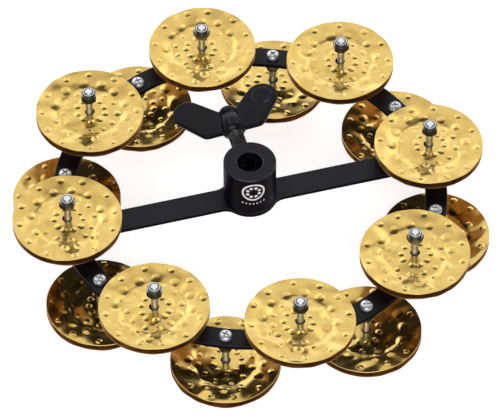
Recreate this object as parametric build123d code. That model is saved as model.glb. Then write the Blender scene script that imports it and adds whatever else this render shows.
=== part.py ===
# Two-row jingle ring (tambourine) that clamps on a round pull rod.
# Row frame, millimetres: origin on the hub bore's axis at the underside of
# the ring plate, +X along the crossbar, +Y towards the wing screw, +Z up.
import math
import os
from build123d import *

# ---------------------------------------------------------------- dimensions
# ring plate: flat steel ring, crossbar and centre boss in one stamping
PLATE_T = 2.5            # sheet thickness
RING_RO = 94.5           # ring outer radius
RING_RI = 84.0           # ring inner radius
BAR_W = 12.4             # crossbar width
BOSS_R = 13.2            # round boss under the hub
BOSS_FILLET = 7.0        # concave blend from crossbar to boss
BAR_FILLET = 4.0         # blend from crossbar to ring
STATION_R = 89.25        # screw circle radius
STATIONS = 8             # per side, upper and lower alternate every 22.5 deg
SCREW_HOLE_R = 2.1
EDGE_R = 0.35            # edge rounding of the stamping

# hub: turned collar standing on the boss
HUB_R = 12.6
HUB_H = 22.8             # above the plate's top face
SPIGOT_R = 9.0           # passes through the plate, flush underneath
SPIGOT_GAP = 0.02
BORE_R = 6.05
HUB_CHAMFER = 0.3
BORE_CHAMFER = 0.4
CLAMP_Z = PLATE_T + 14.0   # height of the wing screw's axis
THREAD_R = 3.9           # M8 clamp screw, over the crests
THREAD_GAP = 0.05        # running clearance in the hub's tapped hole

# wing screw
WS_TIP_Y = 7.0           # inner end, inside the hub wall
WS_NECK_Y = 26.4         # where the threaded shaft meets the boss
WS_END_Y = 43.8          # domed outer end
WS_BOSS_R = 5.7
WS_WAIST_R = 4.5
WS_END_R = 4.7
WING_T = 2.7
WING_TILT = 4.6          # wings stand a little off level, right one higher
WING_TIP = (18.4, 45.0, 7.6)    # x, y, radius of the rounded wing end
WING_KNEE = (12.2, 32.2, 4.5)
WING_ROOT_LOW = (4.8, 32.0, 4.3)
WING_ROOT_HIGH = (4.2, 38.2, 2.4)
EMBOSS_RO, EMBOSS_RI, EMBOSS_H = 5.0, 4.35, 0.25

# jingle screws, M4, 8 up and 8 down
SCREW_R = 2.0            # over the threads
WAIST_R = 1.75           # plain waist the jingles run on
SCREW_L = 26.1           # under the head
HEAD_R, HEAD_H = 3.1, 2.4
WAIST_FROM, WAIST_TO = 8.0, 17.6      # from under the plate face

# lock nuts, M4, 7 mm across flats
NUT_AF = 7.0
NUT_HOLE_R = 2.02
COLLAR_R = 3.15
FIX_NUT_H, FIX_HEX_H = 6.0, 4.1
END_NUT_H, END_HEX_H = 5.0, 3.3
INSERT_RO, INSERT_RI, INSERT_T = 2.72, 2.02, 1.3
INSERT_POCKET_R = 2.75
LIP_R, LIP_T = 2.35, 0.3
UP_END_NUT_Z = PLATE_T + 18.1         # underside of the upper end nuts
LOW_END_NUT_Z = PLATE_T - 19.6        # top side of the lower end nuts

# jingles: thin brass discs, two per screw, back to back
JINGLE_R = 26.0
JINGLE_T = 0.5
JINGLE_HOLE_R = 2.4
# one face's outline as radius, height: low crown in the middle, a valley all
# round it, then a flange that rises to the rim
JINGLE_LINE = ((JINGLE_HOLE_R, 0.70), (6.0, 0.60), (10.0, 0.31), (12.6, 0.07),
               (14.1, 0.0), (15.1, 0.09), (16.3, 0.30), (19.0, 0.68),
               (22.5, 1.07), (JINGLE_R, 1.40))
CROWN = JINGLE_LINE[0][1]
PAIR_GAP = 0.3           # between the two valleys at rest
REST_GAP = 0.05          # between the lower disc and what it lies on

os.makedirs("parts", exist_ok=True)


def up_angle(i):         # upper station i = 1..8
    return 180.0 - 45.0 * i


def low_angle(i):        # lower station i = 1..8
    return 157.5 - 45.0 * i


def at(angle, z=0.0, r=STATION_R):
    a = math.radians(angle)
    return Location((r * math.cos(a), r * math.sin(a), z), (0, 0, angle))


def save(shape, name, colour):
    shape.label = name
    shape.color = Color(*colour)
    export_step(shape, "parts/%s.step" % name)


def group(solids):
    return Compound(children=list(solids))


# ------------------------------------------------------------------ the plate
outline = Circle(RING_RO) - Circle(RING_RI)
outline += Rectangle(2 * (RING_RI + 2), BAR_W)
outline += Circle(BOSS_R)
hw = BAR_W / 2
boss_x = math.sqrt(BOSS_R ** 2 - hw ** 2)
ring_x = math.sqrt(RING_RI ** 2 - hw ** 2)
near_boss = [v for v in outline.vertices()
             if abs(abs(v.Y) - hw) < 0.05 and abs(abs(v.X) - boss_x) < 0.1]
outline = fillet(near_boss, BOSS_FILLET)
near_ring = [v for v in outline.vertices()
             if abs(abs(v.Y) - hw) < 0.05 and abs(abs(v.X) - ring_x) < 0.1]
outline = fillet(near_ring, BAR_FILLET)
plate = extrude(outline, PLATE_T)
plate = fillet([e for e in plate.edges()
                if abs(e.center().Z) < 1e-4 or abs(e.center().Z - PLATE_T) < 1e-4],
               EDGE_R)
cut = [Pos(0, 0, -1) * extrude(Circle(SPIGOT_R + SPIGOT_GAP), PLATE_T + 2)]
for i in range(1, STATIONS + 1):
    for a in (up_angle(i), low_angle(i)):
        cut.append(at(a, -1) * extrude(Circle(SCREW_HOLE_R), PLATE_T + 2))
for c in cut:
    plate = plate - c
save(plate, "ring_plate", (0.05, 0.05, 0.055))

# -------------------------------------------------------------------- the hub
top = PLATE_T + HUB_H
prof = Polyline(
    (BORE_R, 0), (SPIGOT_R, 0), (SPIGOT_R, PLATE_T), (HUB_R, PLATE_T),
    (HUB_R, top - HUB_CHAMFER), (HUB_R - HUB_CHAMFER, top),
    (BORE_R + BORE_CHAMFER, top), (BORE_R, top - BORE_CHAMFER), close=True)
hub = revolve(Plane.XZ * make_face(prof), Axis.Z)
radial = Plane(origin=(0, 0, CLAMP_Z), x_dir=(1, 0, 0), z_dir=(0, 1, 0))
hub = hub - radial * extrude(Circle(THREAD_R + THREAD_GAP), HUB_R + 2)
csk = radial * Pos(0, 0, HUB_R - 0.2) * Cone(
    THREAD_R + THREAD_GAP, THREAD_R + 0.9, 0.8,
    align=(Align.CENTER, Align.CENTER, Align.MIN))
hub = hub - csk
save(hub, "hub", (0.05, 0.05, 0.055))

# -------------------------------------------------------------- the wing screw
# turned outline of shaft and boss: x is the radius, y runs along the axis
dome = WS_END_R * 0.75
dome_r = (WS_END_R ** 2 + dome ** 2) / (2 * dome)
half = math.asin(WS_END_R / dome_r) / 2
boss_line = Polyline(
    (0, WS_TIP_Y), (THREAD_R - 0.8, WS_TIP_Y), (THREAD_R, WS_TIP_Y + 0.8),
    (THREAD_R, WS_NECK_Y), (WS_BOSS_R, WS_NECK_Y + 1.4),
    (WS_BOSS_R, WS_NECK_Y + 6.2), (WS_WAIST_R, WS_NECK_Y + 10.2),
    (WS_END_R, WS_NECK_Y + 12.0), (WS_END_R, WS_END_Y - dome))
dome_line = ThreePointArc(
    (WS_END_R, WS_END_Y - dome),
    (dome_r * math.sin(half), WS_END_Y - dome_r * (1 - math.cos(half))), (0, WS_END_Y))
axis_line = Line((0, WS_END_Y), (0, WS_TIP_Y))
turned = revolve(make_face(boss_line + dome_line + axis_line), Axis.Y)


def wing(side):
    circles = [Pos(side * x, y) * Circle(r) for x, y, r in
               (WING_TIP, WING_KNEE, WING_ROOT_LOW, WING_ROOT_HIGH)]
    blade = extrude(make_hull([c.edge() for c in circles]), WING_T / 2, both=True)
    rim = [e for e in blade.edges() if abs(abs(e.center().Z) - WING_T / 2) < 1e-4]
    return fillet(rim, 0.7)


screw = turned + wing(1) + wing(-1)
mark = extrude(Circle(EMBOSS_RO) - Circle(EMBOSS_RI), EMBOSS_H + 0.4)
screw = screw + Pos(WING_TIP[0], WING_TIP[1], WING_T / 2 - 0.4) * mark
screw = Pos(0, 0, CLAMP_Z) * Rot(0, -WING_TILT, 0) * screw
save(screw, "wing_screw", (0.03, 0.03, 0.035))


# ------------------------------------------------------------ screws and nuts
def jingle_screw():
    """Head below z = 0, shank up to SCREW_L, cross recess in the head."""
    line = Polyline(
        (0, -HEAD_H), (1.6, -HEAD_H), (2.45, -HEAD_H + 0.28),
        (2.9, -HEAD_H + 0.75), (HEAD_R, -HEAD_H + 1.35), (HEAD_R, 0),
        (SCREW_R, 0), (SCREW_R, WAIST_FROM), (WAIST_R, WAIST_FROM + 0.25),
        (WAIST_R, WAIST_TO), (SCREW_R, WAIST_TO + 0.25),
        (SCREW_R, SCREW_L - 0.45), (SCREW_R - 0.45, SCREW_L), (0, SCREW_L),
        close=True)
    body = revolve(Plane.XZ * make_face(line), Axis.Z)
    for turn in (0, 90):
        slot = Rot(0, 0, turn) * Pos(0, 0, -HEAD_H - 0.01) * Box(
            3.3, 0.8, 1.3, align=(Align.CENTER, Align.CENTER, Align.MIN))
        body = body - slot
    return body


def lock_nut(h, hex_h):
    """Hexagon at the bottom, round collar on top, open pocket for the insert."""
    blank = extrude(RegularPolygon(NUT_AF / 2, 6, major_radius=False), hex_h)
    ac = NUT_AF / math.sqrt(3)
    cone = revolve(Plane.XZ * make_face(Polyline(
        (0, 0), (NUT_AF / 2 - 0.05, 0), (ac + 0.02, 0.42), (ac + 0.02, hex_h - 0.42),
        (NUT_AF / 2 - 0.05, hex_h), (0, hex_h), close=True)), Axis.Z)
    nut = blank & cone
    collar = revolve(Plane.XZ * make_face(Polyline(
        (0, hex_h - 0.3), (COLLAR_R, hex_h - 0.3), (COLLAR_R, h - 0.6),
        (COLLAR_R - 0.12, h - 0.25), (COLLAR_R - 0.4, h), (0, h), close=True)), Axis.Z)
    nut = nut + collar
    nut = nut - Pos(0, 0, -1) * extrude(Circle(NUT_HOLE_R), h + 2)
    nut = nut - Pos(0, 0, h - LIP_T - INSERT_T) * extrude(Circle(INSERT_POCKET_R), INSERT_T)
    nut = nut - Pos(0, 0, h - LIP_T - 0.1) * extrude(Circle(LIP_R), 1)
    return nut


def insert(h):
    """Nylon ring in a nut of height h, a hair clear of the pocket."""
    ring = extrude(Circle(INSERT_RO) - Circle(INSERT_RI), INSERT_T - 0.04)
    return Pos(0, 0, h - LIP_T - INSERT_T + 0.02) * ring


one_screw = jingle_screw()
fix_nut, end_nut = lock_nut(FIX_NUT_H, FIX_HEX_H), lock_nut(END_NUT_H, END_HEX_H)
fix_in, end_in = insert(FIX_NUT_H), insert(END_NUT_H)
flip = Rot(180, 0, 0)
steel = (0.62, 0.62, 0.64)
turn_up = [0, 17, 42, 9, 31, 50, 24, 5]        # how each nut happens to sit
turn_low = [12, 48, 28, 3, 36, 20, 55, 40]

ups, lows, fix_up, fix_low, end_up, end_low, ins_fix, ins_end = ([] for _ in range(8))
for i in range(1, STATIONS + 1):
    u, l = up_angle(i), low_angle(i)
    ru, rl = Rot(0, 0, turn_up[i - 1]), Rot(0, 0, turn_low[i - 1])
    ups.append(at(u) * ru * one_screw)
    lows.append(at(l, PLATE_T) * flip * rl * one_screw)
    fix_up.append(at(u, PLATE_T) * rl * fix_nut)
    fix_low.append(at(l) * flip * ru * fix_nut)
    end_up.append(at(u, UP_END_NUT_Z) * ru * end_nut)
    end_low.append(at(l, LOW_END_NUT_Z) * flip * rl * end_nut)
    ins_fix += [at(u, PLATE_T) * fix_in, at(l) * flip * fix_in]
    ins_end += [at(u, UP_END_NUT_Z) * end_in, at(l, LOW_END_NUT_Z) * flip * end_in]

save(group(ups), "upper_screws", steel)
save(group(lows), "lower_screws", steel)
save(group(fix_up), "upper_fixing_nuts", steel)
save(group(fix_low), "lower_fixing_nuts", steel)
save(group(end_up), "upper_end_nuts", steel)
save(group(end_low), "lower_end_nuts", steel)
save(group(ins_fix), "fixing_nut_inserts", (0.04, 0.05, 0.13))
save(group(ins_end), "end_nut_inserts", (0.04, 0.05, 0.13))


# ---------------------------------------------------------------- the jingles
def jingle():
    """One disc, valley's underside at z = 0, crown and rim turned up."""
    low = [Vector(r, z) for r, z in JINGLE_LINE]
    high = [Vector(r, z + JINGLE_T) for r, z in JINGLE_LINE]
    face = make_face(Spline(*low) + Line(low[-1], high[-1])
                     + Spline(*high) + Line(high[0], low[0]))
    return revolve(Plane.XZ * face, Axis.Z)


disc = jingle()
brass = (0.80, 0.60, 0.25)
up_rest = PLATE_T + FIX_NUT_H + REST_GAP
low_rest = LOW_END_NUT_Z + REST_GAP
for i in range(1, STATIONS + 1):
    for row, angle, z in (("upper", up_angle(i), up_rest), ("lower", low_angle(i), low_rest)):
        valley = z + CROWN + JINGLE_T
        bottom = at(angle, valley) * flip * disc
        upper = at(angle, valley + PAIR_GAP) * disc
        save(bottom, "%s_jingle_%d_bottom" % (row, i), brass)
        save(upper, "%s_jingle_%d_top" % (row, i), brass)
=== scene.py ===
"""Looks of the two-row hi-hat tambourine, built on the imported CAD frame. Metres, row frame:
+Z up along the rod bore, +X along the crossbar, +Y towards the wing screw."""
import math

import bpy
import numpy as np
from mathutils import Matrix, Vector


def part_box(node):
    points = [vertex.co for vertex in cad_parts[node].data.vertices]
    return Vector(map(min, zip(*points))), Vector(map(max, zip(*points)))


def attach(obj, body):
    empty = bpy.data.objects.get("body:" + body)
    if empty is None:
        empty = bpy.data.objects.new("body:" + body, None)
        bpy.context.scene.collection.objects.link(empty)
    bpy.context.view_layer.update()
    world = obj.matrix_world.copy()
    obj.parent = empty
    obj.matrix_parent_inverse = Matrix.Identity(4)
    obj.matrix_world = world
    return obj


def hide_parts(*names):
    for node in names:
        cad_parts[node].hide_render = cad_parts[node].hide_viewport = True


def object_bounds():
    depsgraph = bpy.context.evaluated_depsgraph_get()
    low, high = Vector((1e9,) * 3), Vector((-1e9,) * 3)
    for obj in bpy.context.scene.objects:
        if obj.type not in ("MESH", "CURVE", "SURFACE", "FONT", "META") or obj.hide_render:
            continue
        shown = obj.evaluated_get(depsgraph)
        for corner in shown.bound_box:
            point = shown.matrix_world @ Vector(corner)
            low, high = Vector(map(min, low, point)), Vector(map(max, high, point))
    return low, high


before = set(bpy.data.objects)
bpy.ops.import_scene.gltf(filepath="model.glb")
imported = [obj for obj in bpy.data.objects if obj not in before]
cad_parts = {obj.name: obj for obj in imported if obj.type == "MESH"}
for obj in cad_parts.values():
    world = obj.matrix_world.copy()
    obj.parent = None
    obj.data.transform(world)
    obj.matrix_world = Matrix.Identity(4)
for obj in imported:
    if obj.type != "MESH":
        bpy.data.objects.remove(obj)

cad_lo, cad_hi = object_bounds()
MM = 0.001
FLOOR_Z = cad_lo.z

# ------------------------------------------------------------------- the camera
AZ, EL, DIST = math.radians(-15.25), math.radians(49.16), 2.2346
TARGET = Vector((0.0, 0.0, 0.0019))
back = Vector((math.sin(AZ) * math.cos(EL), -math.cos(AZ) * math.cos(EL), math.sin(EL)))
RIGHT = Vector((math.cos(AZ), math.sin(AZ), 0.0))
AWAY = Vector((-math.sin(AZ), math.cos(AZ), 0.0))
cam = bpy.data.objects.new("camera", bpy.data.cameras.new("camera"))
bpy.context.scene.collection.objects.link(cam)
cam.location = TARGET + back * DIST
cam.rotation_mode = "QUATERNION"
cam.rotation_quaternion = (-back).to_track_quat("-Z", "Y")
cam.data.sensor_width = 36.0
cam.data.lens = 4672.4 / 499 * 36.0
cam.data.shift_x = -0.0006
cam.data.shift_y = -0.0323
cam.data.clip_start, cam.data.clip_end = 0.05, 20.0
bpy.context.scene.camera = cam


# ------------------------------------------------------------- material helpers
class Nodes:
    """Short hand for a node tree."""

    def __init__(self, tree):
        self.tree = tree
        self.tree.nodes.clear()

    def add(self, kind, inputs=None, **props):
        n = self.tree.nodes.new(kind)
        for k, v in props.items():
            setattr(n, k, v)
        for k, v in (inputs or {}).items():
            if isinstance(v, bpy.types.NodeSocket):
                self.tree.links.new(v, n.inputs[k])
            else:
                n.inputs[k].default_value = v
        return n

    def ramp(self, fac, stops, mode="LINEAR"):
        n = self.tree.nodes.new("ShaderNodeValToRGB")
        n.color_ramp.interpolation = mode
        el = n.color_ramp.elements
        while len(el) < len(stops):
            el.new(0.5)
        for e, (p, c) in zip(el, stops):
            e.position = p
            e.color = c if len(c) == 4 else (*c, 1.0)
        self.tree.links.new(fac, n.inputs["Fac"])
        return n.outputs["Color"]

    def noise(self, vec, scale, detail=3.0, rough=0.55, dist=0.0):
        return self.add("ShaderNodeTexNoise", {"Vector": vec, "Scale": scale, "Detail": detail,
                                               "Roughness": rough, "Distortion": dist}).outputs["Fac"]

    def to(self, fac, lo, hi, a=0.0, b=1.0):
        n = self.add("ShaderNodeMapRange", {"Value": fac, "From Min": a, "From Max": b, "To Min": lo, "To Max": hi})
        n.clamp = True
        return n.outputs["Result"]


def material(name):
    m = bpy.data.materials.new(name)
    m.use_nodes = True
    t = Nodes(m.node_tree)
    out = t.add("ShaderNodeOutputMaterial")
    bsdf = t.add("ShaderNodeBsdfPrincipled")
    m.node_tree.links.new(bsdf.outputs["BSDF"], out.inputs["Surface"])
    coord = t.add("ShaderNodeTexCoord").outputs["Object"]
    return m, t, bsdf, coord


def bump(t, height, strength, distance, normal=None):
    i = {"Height": height, "Strength": strength, "Distance": distance}
    if normal is not None:
        i["Normal"] = normal
    return t.add("ShaderNodeBump", i).outputs["Normal"]


def brass(name, seed, low, mid, high, rough):
    m, t, b, co = material(name)
    link = m.node_tree.links.new
    mapped = t.add("ShaderNodeMapping", {"Vector": co, "Location": (seed * 0.37, seed * 0.11, 0)}).outputs["Vector"]
    tone = t.ramp(t.noise(mapped, 95.0, 4.0, 0.6), [(0.30, low), (0.52, mid), (0.72, high)])
    spot = t.add("ShaderNodeMix", data_type="RGBA")
    link(t.to(t.noise(mapped, 700.0, 2.0, 0.5), 0.0, 0.35, 0.66, 0.80), spot.inputs[0])
    link(tone, spot.inputs[6])
    spot.inputs[7].default_value = (low[0] * 0.6, low[1] * 0.55, low[2] * 0.5, 1.0)
    link(spot.outputs[2], b.inputs["Base Color"])
    b.inputs["Metallic"].default_value = 1.0
    link(t.to(t.noise(mapped, 240.0, 4.0, 0.65), rough * 0.72, rough * 1.4, 0.25, 0.75), b.inputs["Roughness"])
    scr = t.add("ShaderNodeMapping", {"Vector": mapped, "Rotation": (0, 0, 0.6 + seed), "Scale": (1.0, 14.0, 1.0)}).outputs["Vector"]
    n1 = bump(t, t.noise(scr, 420.0, 3.0, 0.6), 0.07, 0.00004)
    link(bump(t, t.noise(mapped, 330.0, 2.0, 0.5), 0.09, 0.00014, n1), b.inputs["Normal"])
    return m


def black_coat(name, rough, base, grain, seed=0.0):
    m, t, b, co = material(name)
    link = m.node_tree.links.new
    mapped = t.add("ShaderNodeMapping", {"Vector": co, "Location": (seed, seed, seed)}).outputs["Vector"]
    tint = t.noise(mapped, 60.0, 3.0)
    col = t.ramp(tint, [(0.3, tuple(c * 0.8 for c in base)), (0.7, tuple(c * 1.25 for c in base))])
    link(col, b.inputs["Base Color"])
    link(t.to(t.noise(mapped, 180.0, 4.0), rough - 0.06, rough + 0.08, 0.3, 0.7), b.inputs["Roughness"])
    peel = t.noise(mapped, grain, 2.0, 0.5)
    link(bump(t, peel, 0.35, 0.00006), b.inputs["Normal"])
    return m, t, b


def zinc(name, base=(0.70, 0.72, 0.745), rough=0.22):
    m, t, b, co = material(name)
    link = m.node_tree.links.new
    n = t.noise(co, 300.0, 3.0)
    link(t.ramp(n, [(0.3, tuple(c * 0.86 for c in base)), (0.7, base)]), b.inputs["Base Color"])
    b.inputs["Metallic"].default_value = 1.0
    link(t.to(t.noise(co, 900.0, 3.0), rough - 0.06, rough + 0.10, 0.3, 0.7), b.inputs["Roughness"])
    link(bump(t, t.noise(co, 2200.0, 2.0), 0.25, 0.00003), b.inputs["Normal"])
    return m


def paint_upright_faces_darker(m, bsdf, top, side):
    """Painted shade: upright faces get less sheen than level ones, so they read darker than the light alone makes them.
    """
    t = m.node_tree
    co = t.nodes.new("ShaderNodeTexCoord")
    sep = t.nodes.new("ShaderNodeSeparateXYZ")
    t.links.new(co.outputs["Normal"], sep.inputs["Vector"])
    ab = t.nodes.new("ShaderNodeMath")
    ab.operation = "ABSOLUTE"
    t.links.new(sep.outputs["Z"], ab.inputs[0])
    mr = t.nodes.new("ShaderNodeMapRange")
    mr.inputs["From Min"].default_value, mr.inputs["From Max"].default_value = 0.05, 0.35
    mr.inputs["To Min"].default_value, mr.inputs["To Max"].default_value = side, top
    t.links.new(ab.outputs[0], mr.inputs["Value"])
    t.links.new(mr.outputs["Result"], bsdf.inputs["Specular IOR Level"])


def edge_wear_and_painted_highlight(m, bsdf, radius, colour):
    """Coat rubbed thin along the edges, in patches, made lighter grey there: partly edge wear, partly a painted
    highlight.
    """
    t = m.node_tree
    old = bsdf.inputs["Base Color"].links[0].from_socket
    bev = t.nodes.new("ShaderNodeBevel")
    bev.samples = 6
    bev.inputs["Radius"].default_value = radius
    co = t.nodes.new("ShaderNodeTexCoord")
    geo = t.nodes.new("ShaderNodeNewGeometry")
    dot = t.nodes.new("ShaderNodeVectorMath")
    dot.operation = "DOT_PRODUCT"
    t.links.new(bev.outputs["Normal"], dot.inputs[0])
    t.links.new(geo.outputs["Normal"], dot.inputs[1])
    edge = t.nodes.new("ShaderNodeMapRange")
    edge.inputs["From Min"].default_value, edge.inputs["From Max"].default_value = 0.985, 0.90
    t.links.new(dot.outputs["Value"], edge.inputs["Value"])
    n = t.nodes.new("ShaderNodeTexNoise")
    n.inputs["Scale"].default_value = 90.0
    t.links.new(co.outputs["Object"], n.inputs["Vector"])
    patch = t.nodes.new("ShaderNodeMapRange")
    patch.inputs["From Min"].default_value, patch.inputs["From Max"].default_value = 0.38, 0.62
    t.links.new(n.outputs["Fac"], patch.inputs["Value"])
    mul = t.nodes.new("ShaderNodeMath")
    mul.operation = "MULTIPLY"
    t.links.new(edge.outputs["Result"], mul.inputs[0])
    t.links.new(patch.outputs["Result"], mul.inputs[1])
    mix = t.nodes.new("ShaderNodeMix")
    mix.data_type = "RGBA"
    t.links.new(mul.outputs[0], mix.inputs[0])
    t.links.new(old, mix.inputs[6])
    mix.inputs[7].default_value = (*colour, 1.0)
    t.links.new(mix.outputs[2], bsdf.inputs["Base Color"])


COAT, _, coat_bsdf = black_coat("black powder coat", 0.36, (0.0044, 0.0036, 0.0056), 1500.0)
# Painted shade: the coat's upright faces get less sheen.
paint_upright_faces_darker(COAT, coat_bsdf, 0.25, 0.02)
# Lighter grey along the coat's edges: edge wear and painted highlight.
edge_wear_and_painted_highlight(COAT, coat_bsdf, 0.00045, (0.26, 0.26, 0.265))
GLOSS, _, gloss_bsdf = black_coat("black lacquered casting", 0.13, (0.0036, 0.0030, 0.0052), 900.0, 0.4)
# Painted shade: the casting's upright faces get less sheen.
paint_upright_faces_darker(GLOSS, gloss_bsdf, 0.175, 0.035)
# Lighter grey along the casting's edges: edge wear and painted highlight.
edge_wear_and_painted_highlight(GLOSS, gloss_bsdf, 0.00055, (0.42, 0.42, 0.43))
ZINC = zinc("bright zinc plate", (0.50, 0.515, 0.53), 0.27)
ZINC_DARK = zinc("zinc plate, nuts", (0.105, 0.11, 0.105), 0.25)


def paint_level_faces_bright(m, colour):
    """Painted highlight: level faces of the nuts get a bright colour, the flats stay dull and dark."""
    t = m.node_tree
    b = t.nodes["Principled BSDF"]
    old = b.inputs["Base Color"].links[0].from_socket
    co = t.nodes.new("ShaderNodeTexCoord")
    sep = t.nodes.new("ShaderNodeSeparateXYZ")
    t.links.new(co.outputs["Normal"], sep.inputs["Vector"])
    mr = t.nodes.new("ShaderNodeMapRange")
    ab = t.nodes.new("ShaderNodeMath")
    ab.operation = "ABSOLUTE"
    t.links.new(sep.outputs["Z"], ab.inputs[0])
    mr.inputs["From Min"].default_value, mr.inputs["From Max"].default_value = 0.86, 0.985
    t.links.new(ab.outputs[0], mr.inputs["Value"])
    mix = t.nodes.new("ShaderNodeMix")
    mix.data_type = "RGBA"
    t.links.new(mr.outputs["Result"], mix.inputs[0])
    t.links.new(old, mix.inputs[6])
    mix.inputs[7].default_value = (*colour, 1.0)
    t.links.new(mix.outputs[2], b.inputs["Base Color"])


# Painted highlight: bright colour on the level faces of the nuts and screws.
paint_level_faces_bright(ZINC_DARK, (0.80, 0.82, 0.82))
paint_level_faces_bright(ZINC, (0.95, 0.96, 0.97))
ZINC.node_tree.nodes["Principled BSDF"].inputs["Metallic"].default_value = 0.72
BRASS = [brass("hammered brass %d" % i, float(i), (0.80, 0.545, 0.150), (0.865, 0.61, 0.185), (0.905, 0.665, 0.225), 0.16)
         for i in range(3)]
# Rougher inner-side brass whose darker colour is painted shade in the gap between the two discs of a pair.
INNER_PAINTED_SHADE = brass("brass inner side, unpolished, painted shade", 5.0, (0.44, 0.265, 0.105), (0.52, 0.32, 0.130), (0.60, 0.38, 0.160), 0.36)
# Rougher underside brass whose darker colour is painted shade, so the lower row reflects it dark.
UNDER_PAINTED_SHADE = brass("brass underside, dull, painted shade", 6.0, (0.22, 0.112, 0.045), (0.28, 0.148, 0.060), (0.335, 0.185, 0.078), 0.28)


def simple(name, base, rough, grain, spec=0.5):
    m, t, b, co = material(name)
    link = m.node_tree.links.new
    n = t.noise(co, grain, 3.0)
    link(t.ramp(n, [(0.3, tuple(c * 0.85 for c in base)), (0.7, base)]), b.inputs["Base Color"])
    link(t.to(n, rough - 0.05, rough + 0.08, 0.3, 0.7), b.inputs["Roughness"])
    link(bump(t, n, 0.2, 0.00004), b.inputs["Normal"])
    b.inputs["Specular IOR Level"].default_value = spec
    return m


NYLON = simple("nylon insert", (0.009, 0.014, 0.040), 0.42, 1800.0, 0.12)
PRINT = simple("white pad print", (0.80, 0.80, 0.78), 0.55, 2600.0, 0.3)


# ----------------------------------------------------------------- mesh helpers
def build(name, verts, polys, mats, normals=None, mat_index=None, sharp=None, place=None):
    """Mesh object in metres; polys is a list of int arrays, one row per face."""
    me = bpy.data.meshes.new(name)
    total = [np.asarray(p, np.int32) for p in polys if len(p)]
    loops = np.concatenate([p.ravel() for p in total])
    sizes = np.concatenate([np.full(len(p), p.shape[1], np.int32) for p in total])
    me.vertices.add(len(verts))
    me.vertices.foreach_set("co", np.asarray(verts, np.float32).ravel())
    me.loops.add(len(loops))
    me.loops.foreach_set("vertex_index", loops)
    me.polygons.add(len(sizes))
    me.polygons.foreach_set("loop_start", np.concatenate([[0], np.cumsum(sizes)[:-1]]).astype(np.int32))
    me.update(calc_edges=True)
    for m in mats:
        me.materials.append(m)
    me.polygons.foreach_set("use_smooth", np.ones(len(sizes), bool))
    if mat_index is not None:
        me.polygons.foreach_set("material_index", np.asarray(mat_index, np.int32))
    if sharp is not None:
        me.set_sharp_from_angle(angle=math.radians(sharp))
    if normals is not None:
        me.normals_split_custom_set_from_vertices(np.asarray(normals, np.float32))
    me.update()
    ob = bpy.data.objects.new(name, me)
    bpy.context.scene.collection.objects.link(ob)
    if place is not None:
        ob.location = place
    return ob


def disc_grid(n, k0, r0, r1):
    """Even quads over a ring: a square grid wrapped to circles. Gives points, quads, inner and outer loop."""
    ids, pts, rings = {}, [], {}
    for i in range(-n, n + 1):
        for j in range(-n, n + 1):
            m = max(abs(i), abs(j))
            if m < k0:
                continue
            if abs(i) >= abs(j):
                a = math.pi / 4 * j / i if i else 0.0
                if i < 0:
                    a += math.pi
            else:
                a = math.pi / 2 - math.pi / 4 * i / j
                if j < 0:
                    a += math.pi
            r = r0 + (r1 - r0) * (m - k0) / (n - k0)
            ids[i, j] = len(pts)
            rings.setdefault(m, []).append((a % (2 * math.pi), len(pts)))
            pts.append((r * math.cos(a), r * math.sin(a)))
    quads = []
    for i in range(-n, n):
        for j in range(-n, n):
            if max(abs(i), abs(i + 1), abs(j), abs(j + 1)) <= k0:
                continue
            quads.append((ids[i, j], ids[i + 1, j], ids[i + 1, j + 1], ids[i, j + 1]))
    loops = {m: [v for _, v in sorted(rings[m])] for m in (k0, n)}
    return np.array(pts), quads, loops[k0], loops[n]


def strip(a, b):
    """Triangles between two closed loops, the second as long as the first or half as long."""
    out, n = [], len(a)
    if len(b) == n:
        for i in range(n):
            j = (i + 1) % n
            out += [(a[i], a[j], b[j]), (a[i], b[j], b[i])]
        return out
    assert len(b) * 2 == n
    for i in range(len(b)):
        p, q, r = a[2 * i], a[(2 * i + 1) % n], a[(2 * i + 2) % n]
        s, t = b[i], b[(i + 1) % len(b)]
        out += [(p, q, s), (q, t, s), (q, r, t)]
    return out


# ------------------------------------------------------------------ the jingles
J_R, J_T, J_HOLE = 26.0, 0.5, 2.4
LINE = np.array([(2.4, 0.70), (6.0, 0.60), (10.0, 0.31), (12.6, 0.07), (14.1, 0.0), (15.1, 0.08), (16.4, 0.33),
                 (19.0, 0.68), (22.5, 1.06), (26.0, 1.38)])


def profile(r):
    """Smooth curve through LINE, with monotone slopes."""
    x, y = LINE[:, 0], LINE[:, 1]
    d = np.diff(y) / np.diff(x)
    m = np.zeros(len(x))
    m[1:-1] = np.where(d[:-1] * d[1:] > 0, 2 * d[:-1] * d[1:] / (d[:-1] + d[1:] + 1e-12), 0.0)
    m[0], m[-1] = -0.01, d[-1]
    i = np.clip(np.searchsorted(x, r) - 1, 0, len(x) - 2)
    h = x[i + 1] - x[i]
    t = np.clip((r - x[i]) / h, 0, 1)
    return ((1 + 2 * t) * (1 - t) ** 2 * y[i] + t * (1 - t) ** 2 * h * m[i]
            + t * t * (3 - 2 * t) * y[i + 1] + t * t * (t - 1) * h * m[i + 1])


#      radius count size high  edge  scatter-r scatter-a start
RINGS = ((6.9, 10, 1.62, 0.38, 1.00, 0.40, 0.07, 0.20),
         (12.9, 12, 1.55, 0.32, 1.00, 0.45, 0.06, 0.00),
         (17.4, 12, 2.60, 0.34, 1.50, 0.60, 0.09, 0.26),
         (23.0, 12, 1.60, 0.31, 1.05, 0.40, 0.06, 0.00))


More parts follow.
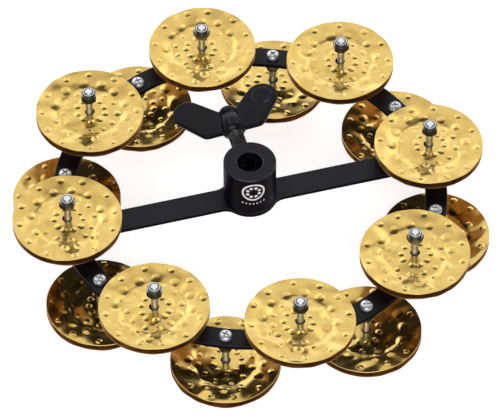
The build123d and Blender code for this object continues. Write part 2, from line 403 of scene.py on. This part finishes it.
def marks(g):
    """Punch marks of one jingle, rows of x, y, radius, height, edge; and its slow waves."""
    out = []
    ecc = g.uniform(0, 2 * math.pi)
    for k, (r, n, size, high, edge, jr, ja, start) in enumerate(RINGS):
        for i in range(n):
            a = start + 2 * math.pi * i / n + g.uniform(-ja, ja)
            rr = r + g.uniform(-jr, jr)
            x, y = rr * math.cos(a), rr * math.sin(a)
            h = high * g.uniform(0.8, 1.15)
            if k == 0:
                x, y = x + 1.0 * math.cos(ecc), y + 1.0 * math.sin(ecc)
            if k == 1:
                h *= 0.35 + 0.65 * (0.5 + 0.5 * math.cos(a - ecc))
            out.append((x, y, size * g.uniform(0.85, 1.15), h, edge))
    waves = [(g.uniform(0.32, 0.90), g.uniform(0, 2 * math.pi), g.uniform(0, 2 * math.pi), g.uniform(0.5, 1.0))
             for _ in range(16)]
    wobble = [(k, g.uniform(0, 2 * math.pi), g.uniform(0.4, 1.0) * 0.62 / math.sqrt(k)) for k in range(2, 13)]
    return np.array(out), waves, wobble


def height(x, y, spec):
    bumps, waves, wobble = spec
    r = np.hypot(x, y)
    th = np.arctan2(y, x)
    shift = sum(w * np.sin(k * th + p) for k, p, w in wobble)
    z = profile(r + shift * np.exp(-((r - 15.2) / 3.2) ** 2))
    fade = np.clip((r - 4.0) / 5.0, 0, 1)
    for f, a, p, w in waves:
        z = z + 0.050 * w * np.sin(f * (x * math.cos(a) + y * math.sin(a)) + p) * fade / (0.4 + f)
    for bx, by, br, bh, edge in bumps:
        d2 = ((x - bx) ** 2 + (y - by) ** 2) / br ** 2
        z = z + bh * np.clip(1 - d2, 0, None) ** edge
    return z


N_TOP, N_IN, K0 = 72, 30, 6
TOP = disc_grid(N_TOP, K0, J_HOLE, J_R - 0.14)
LOW = disc_grid(N_TOP // 2, K0 // 2, J_HOLE, J_R - 0.14)
RIM = ((-0.04, -0.04, 0.7), (0.0, -0.14, 0.15), (0.0, -J_T + 0.14, -0.15), (-0.04, -J_T + 0.04, -0.7))


def jingle_topology():
    (xy, quads, inner, outer), (xy2, quads2, inner2, outer2) = TOP, LOW
    b2 = len(xy)
    quad2 = [tuple(b2 + v for v in reversed(q)) for q in quads2]
    count, tris, prev = b2 + len(xy2), [], outer
    for _ in RIM:
        ids = list(range(count, count + len(outer)))
        tris += [tuple(reversed(f)) for f in strip(prev, ids)]
        prev, count = ids, count + len(outer)
    tris += [tuple(reversed(f)) for f in strip(prev, [b2 + v for v in outer2])]
    rim_count = len(tris)
    tris += strip(inner, [b2 + v for v in inner2])
    index = np.zeros(len(quads) + len(quad2) + len(tris), np.int32)
    index[len(quads):len(quads) + len(quad2)] = 1
    index[len(quads) + len(quad2) + rim_count:] = 1
    return np.array(quads + quad2), np.array(tris), index


J_QUADS, J_TRIS, J_INDEX = jingle_topology()


def jingle(name, g, turn, lean, flip, mats, place):
    """One hammered disc, already turned and leaning, so its box is the true one."""
    spec = marks(g)
    (xy, _, _, outer), (xy2, _, _, _) = TOP, LOW

    def slope(p):
        e = 0.03
        hx = (height(p[:, 0] + e, p[:, 1], spec) - height(p[:, 0] - e, p[:, 1], spec)) / (2 * e)
        hy = (height(p[:, 0], p[:, 1] + e, spec) - height(p[:, 0], p[:, 1] - e, spec)) / (2 * e)
        nn = np.stack([-hx, -hy, np.ones(len(p))], 1)
        return nn / np.linalg.norm(nn, axis=1, keepdims=True)

    z = height(xy[:, 0], xy[:, 1], spec) + J_T
    verts = [np.column_stack([xy, z]), np.column_stack([xy2, height(xy2[:, 0], xy2[:, 1], spec)])]
    normals = [slope(xy), -slope(xy2)]
    ang = np.arctan2(xy[outer, 1], xy[outer, 0])
    for dr, dz, up in RIM:
        s = math.sqrt(1 - up * up)
        verts.append(np.column_stack([(J_R + dr) * np.cos(ang), (J_R + dr) * np.sin(ang), z[outer] + dz]))
        normals.append(np.column_stack([np.cos(ang) * s, np.sin(ang) * s, np.full(len(ang), up)]))
    m = lean @ Matrix.Rotation(turn, 4, "Z")
    if flip:
        m = m @ Matrix.Rotation(math.pi, 4, "X")
    rot = np.array(m.to_3x3())
    v = np.concatenate(verts) @ rot.T * MM
    nn = np.concatenate(normals) @ rot.T
    return build(name, v, [J_QUADS, J_TRIS], mats, normals=nn, mat_index=J_INDEX, place=place)


UP_TILT = [1.2, 0.4, -1.1, -1.3, 0.0, -1.6, 0.0, 1.0]
UP_SHIFT = [(0.17, 0.2), (0.24, 0.2), (-0.6, 0.15), (-0.35, 0.0), (0.25, -0.25), (-0.1, -0.1), (-0.45, -0.1), (-0.4, 0.0)]
g = np.random.default_rng(7)
for row in ("upper", "lower"):
    for i in range(1, 9):
        tilt = UP_TILT[i - 1] if row == "upper" else g.uniform(-1.2, 1.2)
        side = g.uniform(-0.6, 0.6)
        shift = UP_SHIFT[i - 1] if row == "upper" else tuple(g.uniform(-0.35, 0.35, 2))
        room = 0.32 / max(math.hypot(*shift), 0.32)      # the hole is 0.4 mm clear of the screw all round
        shift = (shift[0] * room, shift[1] * room)
        for k, half in enumerate(("bottom", "top")):
            node = "%s_jingle_%d_%s" % (row, i, half)
            lo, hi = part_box(node)
            c = Vector(((lo[0] + hi[0]) / 2, (lo[1] + hi[1]) / 2, lo[2] if half == "top" else hi[2]))
            c += (RIGHT * shift[0] + AWAY * shift[1]) * MM + Vector((0, 0, 0.00006))
            lean = (Matrix.Rotation(math.radians(tilt + (0.15 if k else 0.0)), 4, RIGHT)
                    @ Matrix.Rotation(math.radians(side), 4, AWAY))
            # Downward faces of each pair get the darker underside brass: painted shade.
            skin = BRASS[int(g.integers(0, 3))] if half == "top" else UNDER_PAINTED_SHADE
            # Facing inner sides of the pair get the darker inner brass: painted shade.
            ob = jingle(node + "_hammered", g, g.uniform(0, 2 * math.pi), lean, half == "bottom", [skin, INNER_PAINTED_SHADE], c)
            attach(ob, node)
            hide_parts(node)

# --------------------------------------------------------------- the wing screw
CLAMP_Z, TILT = 16.5, 4.6
THREAD = dict(r=3.85, core=3.25, pitch=1.25, y0=7.2, y1=27.6)


def lathe(line, n=64):
    """Closed turned body about +Y from (radius, y) pairs that start and end on the axis."""
    v, f = [], []
    ring = []
    for r, y in line:
        if r == 0:
            ring.append([len(v)])
            v.append((0, y, 0))
        else:
            ring.append(list(range(len(v), len(v) + n)))
            v += [(r * math.cos(2 * math.pi * k / n), y, r * math.sin(2 * math.pi * k / n)) for k in range(n)]
    for a, b in zip(ring, ring[1:]):
        for k in range(n):
            j = (k + 1) % n
            p, q = a[k % len(a)], a[j % len(a)]
            s, t = b[k % len(b)], b[j % len(b)]
            for tri in ((p, s, t), (p, t, q)):
                if len(set(tri)) == 3:
                    f.append(tri)
    return np.array(v, float), np.array(f)


def hull2(circles, n=60):
    pts = np.concatenate([[(x + r * math.cos(2 * math.pi * k / n), y + r * math.sin(2 * math.pi * k / n))
                           for k in range(n)] for x, y, r in circles])
    pts = pts[np.lexsort((pts[:, 1], pts[:, 0]))]

    def half(ps):
        h = []
        for p in ps:
            while len(h) > 1 and ((h[-1][0] - h[-2][0]) * (p[1] - h[-2][1]) - (h[-1][1] - h[-2][1]) * (p[0] - h[-2][0])) <= 0:
                h.pop()
            h.append(tuple(p))
        return h
    a, b = half(pts), half(pts[::-1])
    return a[:-1] + b[:-1]


def blade(side):
    """One wing: flat, edges rounded."""
    out = hull2([(18.4, 45.0, 7.6), (12.2, 32.2, 4.5), (4.8, 32.0, 4.3), (4.2, 38.2, 2.4)])
    out = np.array(out)
    d = np.roll(out, -1, 0) - np.roll(out, 1, 0)
    nrm = np.column_stack([d[:, 1], -d[:, 0]]) / np.linalg.norm(d, axis=1)[:, None]
    v, layers = [], []
    T, R = 1.35, 0.7
    steps = [(R * (1 - math.sin(a)), R * (1 - math.cos(a))) for a in np.linspace(0, math.pi / 2, 5)]
    prof = [(-s0, T - s1) for s0, s1 in steps] + [(-s0, -T + s1) for s0, s1 in reversed(steps)]
    for inset, z in prof:
        layers.append(len(v) + np.arange(len(out)))
        for p, q in zip(out, nrm):
            x = p[0] + q[0] * inset
            y = p[1] + q[1] * inset
            v.append((side * x, y, z))
    f = []
    n = len(out)
    for a, b in zip(layers, layers[1:]):
        for k in range(n):
            j = (k + 1) % n
            f += [(a[k], b[k], b[j]), (a[k], b[j], a[j])]
    c0, c1 = len(v), len(v) + 1
    cx, cy = side * out[:, 0].mean(), out[:, 1].mean()
    v += [(cx, cy, T), (cx, cy, -T)]
    for k in range(n):
        j = (k + 1) % n
        f += [(c0, layers[0][k], layers[0][j]), (c1, layers[-1][j], layers[-1][k])]
    f = np.array(f)
    if side < 0:
        f = f[:, ::-1]
    return np.array(v, float), f


def join(parts):
    v, f, base = [], [], 0
    for a, b in parts:
        v.append(a)
        f.append(b + base)
        base += len(a)
    return np.concatenate(v), np.concatenate(f)


WS_PLACE = Matrix.Translation((0, 0, CLAMP_Z * MM)) @ Matrix.Rotation(math.radians(-TILT), 4, "Y")
WS_ROT = np.array(WS_PLACE.to_3x3())
WS_OFF = np.array((0, 0, CLAMP_Z))


def ws_place(v):
    return (v @ WS_ROT.T + WS_OFF) * MM


knob = [(4.7 * math.cos(a), 39.9 + 3.3 * math.sin(a)) for a in np.linspace(0, math.pi / 2, 9)]
boss = [(0, 25.6), (3.7, 25.6), (4.0, 26.3), (5.55, 27.7), (5.65, 30.2), (5.6, 32.4), (5.1, 34.6), (4.45, 36.6),
        (4.45, 37.6), (4.7, 38.6)] + knob[:-1] + [(0, 43.2)]
v, f = join([lathe(boss), blade(1), blade(-1)])
cast = build("wing_screw_casting", v * MM, [f], [GLOSS])
rem = cast.modifiers.new("r", "REMESH")
rem.mode, rem.voxel_size = "VOXEL", 0.00030
sm = cast.modifiers.new("s", "SMOOTH")
sm.factor, sm.iterations = 0.5, 5
dg = bpy.context.evaluated_depsgraph_get()
done = bpy.data.meshes.new_from_object(cast.evaluated_get(dg))
cast.modifiers.clear()
cast.data = done
co = np.empty(len(done.vertices) * 3, np.float32)
done.vertices.foreach_get("co", co)
co = co.reshape(-1, 3).astype(float) / MM
# casting skin: faint ripple left by the mould
co += 0.018 * np.sin(co[:, [1, 2, 0]] * 1.1 + 0.7) * np.sin(co[:, [2, 0, 1]] * 0.9)
done.vertices.foreach_set("co", ws_place(co).astype(np.float32).ravel())
done.polygons.foreach_set("use_smooth", np.ones(len(done.polygons), bool))
done.materials.clear()
done.materials.append(GLOSS)
done.update()


def thread_mesh(r, core, pitch, y0, y1, per=40, seg=6):
    """Threaded shaft about +Y: a helical groove cut in a grid wrapped round the axis, ends closed."""
    rows = int((y1 - y0) / pitch * seg) + 1
    ys = np.linspace(y0, y1, rows)
    th = np.arange(per) / per * 2 * math.pi
    Y, A = np.meshgrid(ys, th, indexing="ij")
    ph = (Y / pitch - A / (2 * math.pi)) % 1.0
    tri = 1 - np.abs(2 * ph - 1)
    depth = np.clip(tri * 1.35 - 0.12, 0, 1)
    lead = np.clip((Y - y0) / 0.9, 0, 1)
    R = core + (r - core) * depth * lead
    v = np.stack([R * np.cos(A), Y, R * np.sin(A)], -1).reshape(-1, 3)
    idx = np.arange(rows * per).reshape(rows, per)
    a, b = idx[:-1], idx[1:]
    a2, b2 = np.roll(a, -1, 1), np.roll(b, -1, 1)
    f = np.concatenate([np.stack([a, b, b2], -1).reshape(-1, 3), np.stack([a, b2, a2], -1).reshape(-1, 3)])
    ends = np.array([[0, y0, 0], [0, y1, 0]], float)
    n = len(v)
    lo, hi = idx[0], idx[-1]
    f = np.concatenate([f, np.stack([np.full(per, n), lo, np.roll(lo, -1)], -1),
                        np.stack([np.full(per, n + 1), np.roll(hi, -1), hi], -1)])
    return np.concatenate([v, ends]), f


v, f = thread_mesh(THREAD["r"], THREAD["core"], THREAD["pitch"], THREAD["y0"], THREAD["y1"])
shaft = build("wing_screw_thread", ws_place(v), [f], [GLOSS], sharp=50)


def torus(cx, cy, z, R, r, n=72, k=12, squash=0.55):
    v, f = [], []
    for i in range(n):
        a = 2 * math.pi * i / n
        for j in range(k):
            b = 2 * math.pi * j / k
            rr = R + r * math.cos(b)
            v.append((cx + rr * math.cos(a), cy + rr * math.sin(a), z + r * squash * math.sin(b)))
    for i in range(n):
        for j in range(k):
            p, q = i * k + j, ((i + 1) % n) * k + j
            s, t = i * k + (j + 1) % k, ((i + 1) % n) * k + (j + 1) % k
            f += [(p, q, t), (p, t, s)]
    return np.array(v, float), np.array(f)


v, f = torus(18.4, 45.0, 1.33, 4.68, 0.34)
badge = build("wing_screw_raised_ring", ws_place(v), [f], [GLOSS])
for ob in (cast, shaft, badge):
    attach(ob, "wing_screw")
    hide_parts("wing_screw")

# --------------------------------------------------- plain printed mark on the hub
HUB_R, MARK_AZ, MARK_Z = 12.6, math.radians(-97.0), 17.2


def printed(patches, name):
    """Thin raised patches on the hub's side; each is a closed strip of (s, z) inner/outer pairs, s along the wall."""
    v, f, base = [], [], 0
    for outer, inner in patches:
        n = len(outer)
        for rad in (HUB_R - 0.03, HUB_R + 0.035):
            for ring in (outer, inner):
                for s, z in ring:
                    a = MARK_AZ + s / HUB_R
                    v.append((rad * math.cos(a), rad * math.sin(a), MARK_Z + z))
        o0, i0, o1, i1 = (base + k * n for k in range(4))
        for k in range(n):
            j = (k + 1) % n
            f += [(o1 + k, o1 + j, i1 + j), (o1 + k, i1 + j, i1 + k),
                  (o0 + k, i0 + j, o0 + j), (o0 + k, i0 + k, i0 + j),
                  (o0 + k, o0 + j, o1 + j), (o0 + k, o1 + j, o1 + k),
                  (i0 + k, i1 + j, i0 + j), (i0 + k, i1 + k, i1 + j)]
        base += 4 * n
    return build(name, np.array(v) * MM, [np.array(f)], [PRINT], sharp=40)


def circle(s, z, r, n):
    return [(s + r * math.cos(2 * math.pi * k / n), z + r * math.sin(2 * math.pi * k / n)) for k in range(n)]


patches = [(circle(0, 0, 5.7, 72), circle(0, 0, 4.7, 72))]
for k in range(8):
    a = math.pi / 8 + k * math.pi / 4
    patches.append((circle(3.0 * math.cos(a), 3.0 * math.sin(a), 0.82, 24), circle(3.0 * math.cos(a), 3.0 * math.sin(a), 0.04, 24)))
for k in range(7):
    s = (k - 3) * 1.75
    patches.append((circle(s, -8.1 + 0.03 * s * s, 0.42, 16), circle(s, -8.1 + 0.03 * s * s, 0.03, 16)))
mark = printed(patches, "hub_printed_mark")
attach(mark, "frame")

# ------------------------------------------------------- carried-over CAD pieces
for node, mat in (("ring_plate", COAT), ("hub", COAT),
                  ("upper_screws", ZINC), ("lower_screws", ZINC),
                  ("upper_fixing_nuts", ZINC_DARK), ("lower_fixing_nuts", ZINC_DARK),
                  ("upper_end_nuts", ZINC_DARK), ("lower_end_nuts", ZINC_DARK),
                  ("fixing_nut_inserts", NYLON), ("end_nut_inserts", NYLON)):
    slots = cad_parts[node].material_slots
    for s in slots:
        s.material = mat

# ---------------------------------------------------------------- stage and light
me = bpy.data.meshes.new("floor")
S = 3.0
me.from_pydata([(-S, -S, FLOOR_Z), (S, -S, FLOOR_Z), (S, S, FLOOR_Z), (-S, S, FLOOR_Z)], [], [(0, 1, 2, 3)])
floor = bpy.data.objects.new("floor", me)
bpy.context.scene.collection.objects.link(floor)
fm, ft, fb, fc = material("pale floor")
fm.use_backface_culling = True
fm.node_tree.links.new(ft.ramp(ft.noise(fc, 30.0, 3.0), [(0.3, (0.90, 0.90, 0.90)), (0.7, (0.93, 0.93, 0.93))]), fb.inputs["Base Color"])
fb.inputs["Roughness"].default_value = 0.9
fb.inputs["Specular IOR Level"].default_value = 0.1
fb.inputs["Emission Color"].default_value = (1.0, 1.0, 1.0, 1.0)
fb.inputs["Emission Strength"].default_value = 0.70
see = ft.add("ShaderNodeMixShader", {0: ft.add("ShaderNodeNewGeometry").outputs["Backfacing"],
                                      1: fb.outputs["BSDF"], 2: ft.add("ShaderNodeBsdfTransparent").outputs["BSDF"]})
fm.node_tree.links.new(see.outputs["Shader"], next(n for n in fm.node_tree.nodes if n.type == "OUTPUT_MATERIAL").inputs["Surface"])
me.materials.append(fm)

world = bpy.data.worlds.new("studio")
bpy.context.scene.world = world
world.use_nodes = True
w = Nodes(world.node_tree)
wc = w.add("ShaderNodeTexCoord").outputs["Generated"]
sep = w.add("ShaderNodeSeparateXYZ", {"Vector": wc}).outputs["Z"]
base = w.ramp(sep, [(0.0, (0.72, 0.72, 0.72)), (0.20, (0.56, 0.56, 0.56)), (0.45, (0.32, 0.32, 0.325)),
                    (0.85, (0.23, 0.225, 0.22)), (0.94, (0.12, 0.115, 0.11)), (1.0, (0.07, 0.066, 0.06))])
lobe_dir = (AWAY * math.cos(math.radians(11.0)) - RIGHT * math.sin(math.radians(11.0))) * math.cos(math.radians(39.0))
lobe_dir += Vector((0, 0, math.sin(math.radians(39.0))))
dot = w.add("ShaderNodeVectorMath", {0: wc, 1: tuple(lobe_dir)}, operation="DOT_PRODUCT").outputs["Value"]
lobe = w.ramp(dot, [(0.0, (0, 0, 0)), (0.74, (0.0, 0.0, 0.0)), (0.81, (0.30, 0.30, 0.30)), (0.86, (0.90, 0.90, 0.90)),
                       (0.89, (1, 1, 1)), (1.0, (1, 1, 1))])
mixn = w.add("ShaderNodeMix", data_type="RGBA")
world.node_tree.links.new(lobe, mixn.inputs[0])
world.node_tree.links.new(base, mixn.inputs[6])
drift = w.ramp(w.noise(wc, 5.0, 1.0, 0.5), [(0.34, (0.84, 0.84, 0.85)), (0.50, (0.95, 0.95, 0.955)), (0.66, (1.10, 1.09, 1.07))])
rise = w.ramp(sep, [(0.0, (0.66, 0.70, 0.92)), (0.25, (0.65, 0.69, 0.88)), (0.45, (0.56, 0.58, 0.66)), (0.62, (0.495, 0.50, 0.52)),
                    (0.755, (0.455, 0.455, 0.455)), (0.87, (0.395, 0.39, 0.38)), (0.94, (0.33, 0.32, 0.31)), (1.0, (0.25, 0.24, 0.23))])
shade = w.add("ShaderNodeVectorMath", {0: drift, 1: rise}, operation="MULTIPLY").outputs["Vector"]
shade = w.add("ShaderNodeVectorMath", {0: shade, "Scale": 2.2}, operation="SCALE").outputs["Vector"]
world.node_tree.links.new(shade, mixn.inputs[7])
glow = mixn.outputs[2]
for az, el, gain in ((128, 36, 0.55), (-153, 38, 0.50)):
    ra, re = math.radians(az), math.radians(el)
    d = (math.sin(ra) * math.cos(re), -math.cos(ra) * math.cos(re), math.sin(re))
    spot = w.add("ShaderNodeVectorMath", {0: wc, 1: d}, operation="DOT_PRODUCT").outputs["Value"]
    spot = w.ramp(spot, [(0.0, (0, 0, 0)), (0.93, (0, 0, 0)), (0.985, (gain, gain, gain * 0.97)), (1.0, (gain, gain, gain * 0.97))], "EASE")
    addn = w.add("ShaderNodeMix", data_type="RGBA", blend_type="ADD")
    addn.inputs[0].default_value = 1.0
    world.node_tree.links.new(glow, addn.inputs[6])
    world.node_tree.links.new(spot, addn.inputs[7])
    glow = addn.outputs[2]
sky = glow
bg = w.add("ShaderNodeBackground", {"Color": sky, "Strength": 1.0})
wo = w.add("ShaderNodeOutputWorld", {"Surface": bg.outputs["Background"]})


def area(name, az, el, dist, size, power, colour=(1, 1, 1)):
    lamp = bpy.data.lights.new(name, "AREA")
    lamp.shape, lamp.size, lamp.size_y = "RECTANGLE", size[0], size[1]
    lamp.energy, lamp.color = power, colour
    ob = bpy.data.objects.new(name, lamp)
    bpy.context.scene.collection.objects.link(ob)
    a, e = math.radians(az), math.radians(el)
    d = Vector((math.sin(a) * math.cos(e), -math.cos(a) * math.cos(e), math.sin(e)))
    ob.location = d * dist
    ob.rotation_mode = "QUATERNION"
    ob.rotation_quaternion = d.to_track_quat("Z", "Y")
    return ob


area("front_box", -15, 34, 1.7, (1.5, 0.9), 12.0)

sc = bpy.context.scene
sc.view_settings.view_transform = "Standard"
sc.view_settings.look = "None"
sc.view_settings.exposure = 0.0
sc.view_settings.gamma = 1.0
